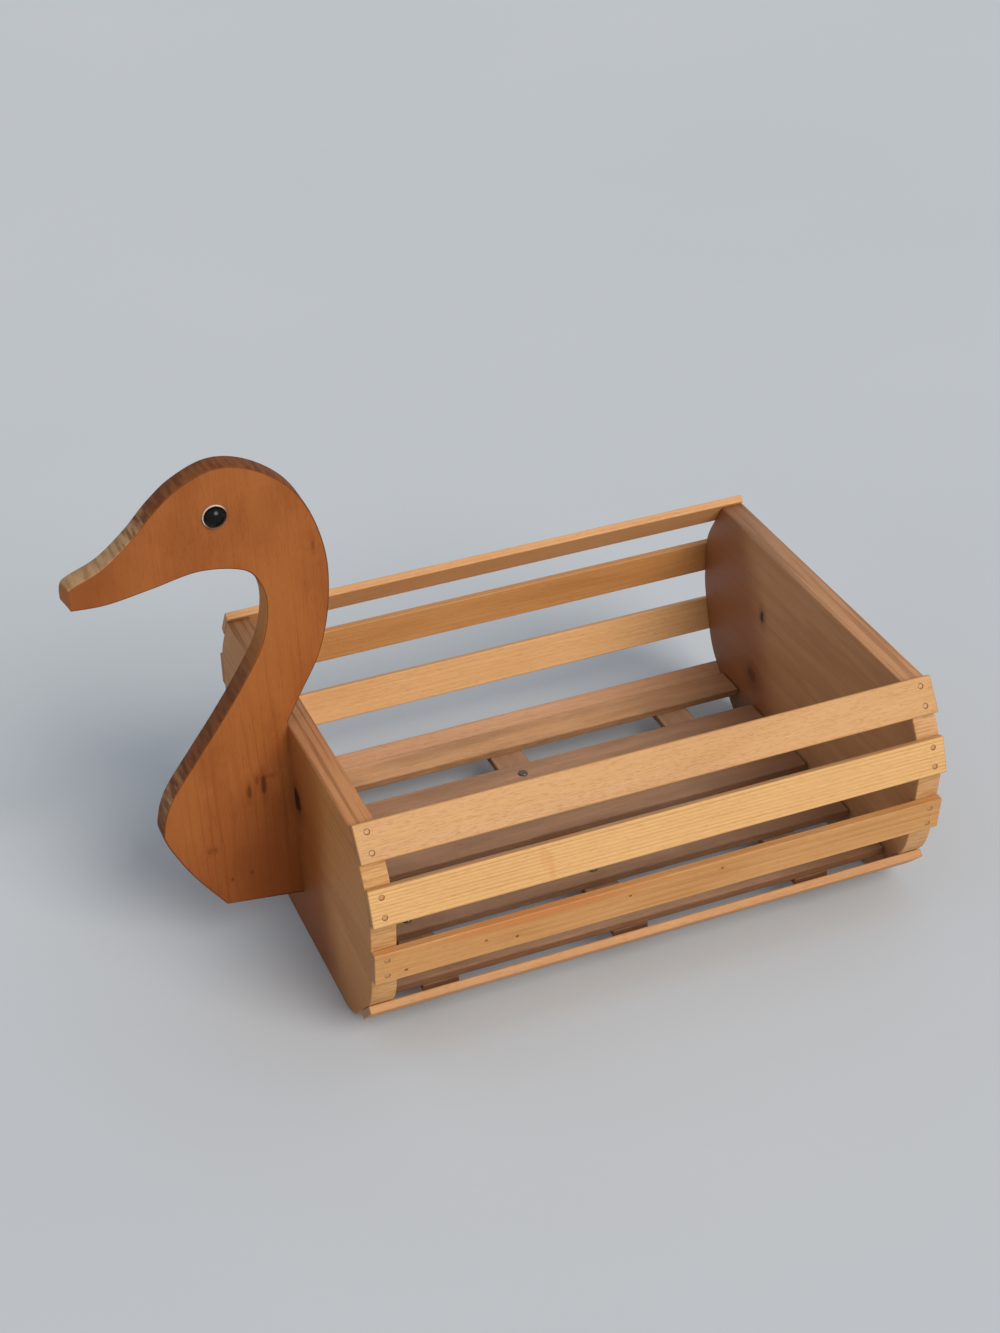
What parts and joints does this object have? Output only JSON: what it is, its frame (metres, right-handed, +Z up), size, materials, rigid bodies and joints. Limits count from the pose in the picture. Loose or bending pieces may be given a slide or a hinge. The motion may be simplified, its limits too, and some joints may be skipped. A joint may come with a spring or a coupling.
{
  "type": "planter basket",
  "caption": "Barrel-sided tub of nailed pine slats on two end panels, with a slatted floor rack and a sawn swan head-and-neck board with bead eyes, for holding potted plants",
  "frame": {"origin": "On the ground, on the tub's middle plane, midway between the beak tip and the rear panel's outer face", "axes": "+X runs along the tub from the swan's head to the rear panel, +Y to the swan's right, +Z up"},
  "size_m": [0.5564, 0.3484, 0.384],
  "materials": {
    "board_wood": "reddish brown stain under satin varnish",
    "panel_wood": "oiled pine, satin",
    "slat_pine": "varnished pine, satin",
    "floor_pine": "pine, worn satin",
    "eye_bead": "polished black",
    "eye_ring": "satin ivory",
    "nail_steel": "dull wire nail"
  },
  "bodies": {
    "root": {"swan_board": "board_wood", "left_eye": "eye_bead", "left_eye_ring": "eye_ring", "right_eye": "eye_bead", "right_eye_ring": "eye_ring", "front_panel": "panel_wood", "rear_panel": "panel_wood", "left_slat_1": "slat_pine", "left_slat_2": "slat_pine", "left_slat_3": "slat_pine", "left_slat_4": "slat_pine", "right_slat_1": "slat_pine", "right_slat_2": "slat_pine", "right_slat_3": "slat_pine", "right_slat_4": "slat_pine", "floor_slat_1": "floor_pine", "floor_slat_2": "floor_pine", "floor_slat_3": "floor_pine", "floor_slat_4": "floor_pine", "floor_slat_5": "floor_pine", "floor_batten_1": "floor_pine", "floor_batten_2": "floor_pine", "floor_batten_3": "floor_pine", "left_slat_1_nail_front_upper": "nail_steel", "left_slat_1_nail_front_lower": "nail_steel", "left_slat_1_nail_rear_upper": "nail_steel", "left_slat_1_nail_rear_lower": "nail_steel", "left_slat_2_nail_front_upper": "nail_steel", "left_slat_2_nail_front_lower": "nail_steel", "left_slat_2_nail_rear_upper": "nail_steel", "left_slat_2_nail_rear_lower": "nail_steel", "left_slat_3_nail_front_upper": "nail_steel", "left_slat_3_nail_front_lower": "nail_steel", "left_slat_3_nail_rear_upper": "nail_steel", "left_slat_3_nail_rear_lower": "nail_steel", "left_slat_4_nail_front_upper": "nail_steel", "left_slat_4_nail_front_lower": "nail_steel", "left_slat_4_nail_rear_upper": "nail_steel", "left_slat_4_nail_rear_lower": "nail_steel", "right_slat_1_nail_front_upper": "nail_steel", "right_slat_1_nail_front_lower": "nail_steel", "right_slat_1_nail_rear_upper": "nail_steel", "right_slat_1_nail_rear_lower": "nail_steel", "right_slat_2_nail_front_upper": "nail_steel", "right_slat_2_nail_front_lower": "nail_steel", "right_slat_2_nail_rear_upper": "nail_steel", "right_slat_2_nail_rear_lower": "nail_steel", "right_slat_3_nail_front_upper": "nail_steel", "right_slat_3_nail_front_lower": "nail_steel", "right_slat_3_nail_rear_upper": "nail_steel", "right_slat_3_nail_rear_lower": "nail_steel", "right_slat_4_nail_front_upper": "nail_steel", "right_slat_4_nail_front_lower": "nail_steel", "right_slat_4_nail_rear_upper": "nail_steel", "right_slat_4_nail_rear_lower": "nail_steel", "floor_nail_1": "nail_steel", "floor_nail_2": "nail_steel", "floor_nail_3": "nail_steel", "board_screw_upper": "nail_steel", "board_screw_lower": "nail_steel"}
  },
  "joints": []
}
